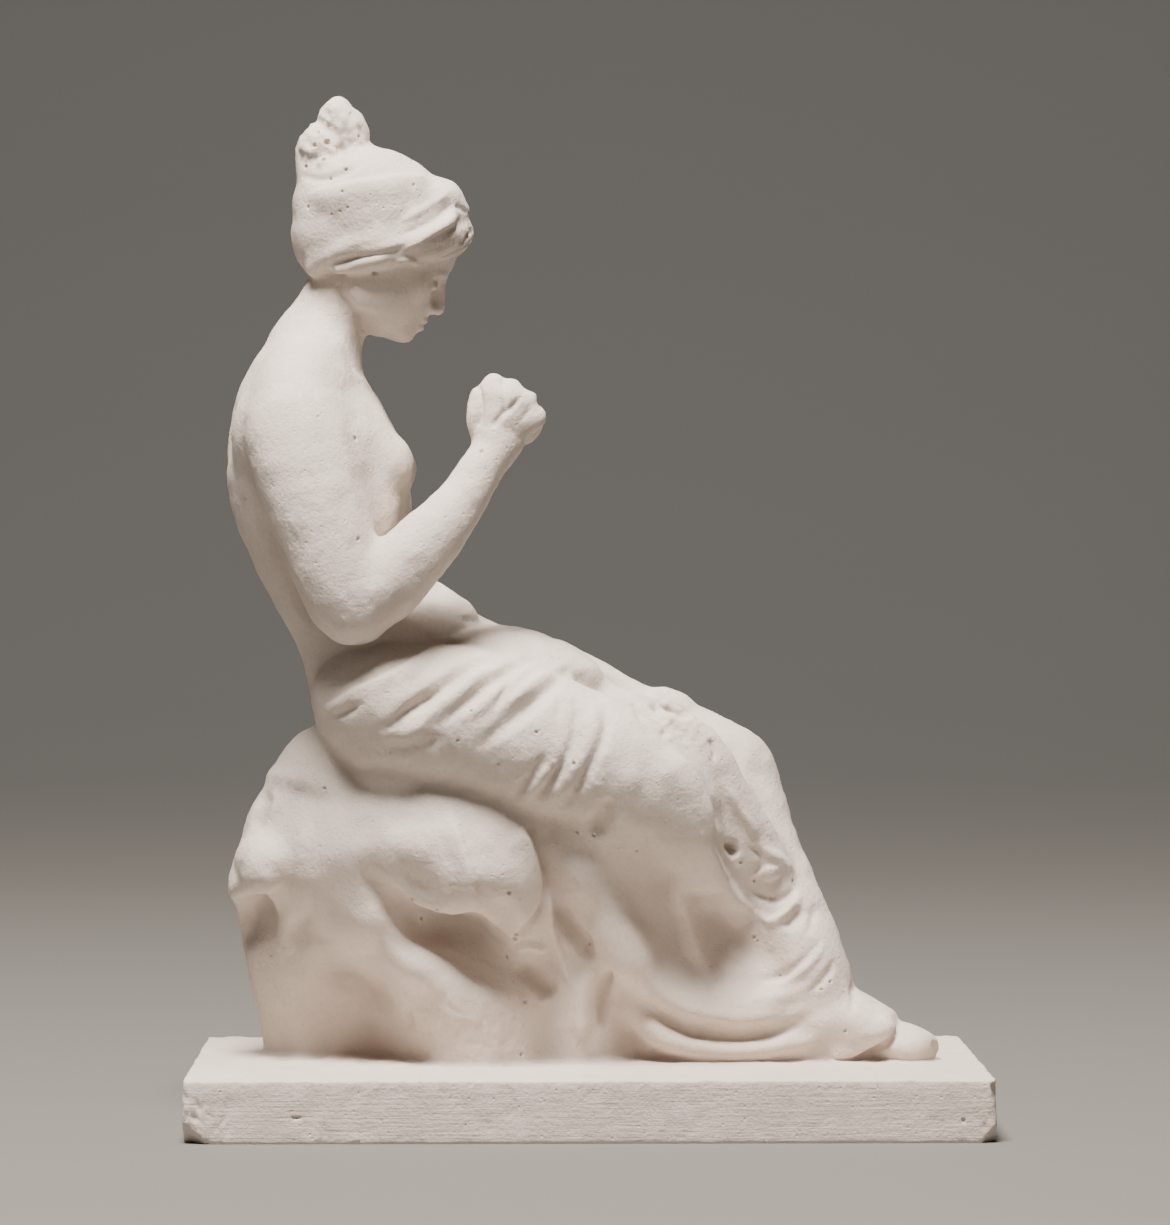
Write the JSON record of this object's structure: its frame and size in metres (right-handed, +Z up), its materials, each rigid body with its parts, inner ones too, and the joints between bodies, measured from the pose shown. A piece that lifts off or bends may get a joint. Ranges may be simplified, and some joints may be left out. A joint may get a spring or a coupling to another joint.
{
  "type": "seated draped figurine",
  "caption": "Plaster cast of a seated figure, half draped, head bowed in a kerchief, one hand raised, on a rock and a plain rectangular plinth. An ornament that stands on a shelf or table.",
  "frame": {"origin": "middle of the plinth's underside", "axes": "+X is the way the figure faces, along the plinth's length; +Z is up; the figure's right side, with the raised hand, is towards -Y"},
  "size_m": [0.1836, 0.1, 0.24],
  "materials": {
    "gypsum_plaster": "matte"
  },
  "bodies": {
    "root": {"seated_figure_cast": "gypsum_plaster"}
  },
  "joints": []
}
